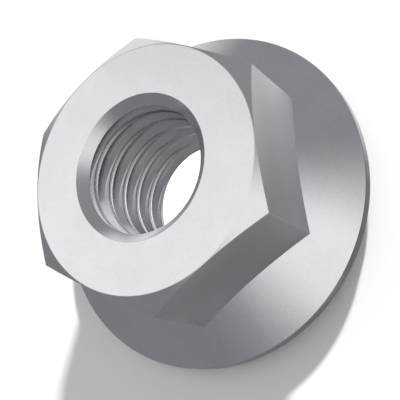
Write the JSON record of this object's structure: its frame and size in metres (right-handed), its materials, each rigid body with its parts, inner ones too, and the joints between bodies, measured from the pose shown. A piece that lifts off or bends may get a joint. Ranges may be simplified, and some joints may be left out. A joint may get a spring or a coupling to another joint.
{
  "type": "serrated flange nut",
  "caption": "Hexagon nut with a forged flange, a threaded through hole opened by a cone at both ends, and ratchet teeth on the bearing face.",
  "frame": {"origin": "middle of the bearing face, in the plane that the tips of the teeth stand on", "axes": "+Z is the nut's axis and points up out of the hexagon's end face; +X runs through one corner of the hexagon"},
  "size_m": [0.0118, 0.0118, 0.005],
  "materials": {
    "nut": "plain steel with a thin clear zinc plating, satin"
  },
  "bodies": {
    "root": {"flange_nut": "nut"}
  },
  "joints": []
}
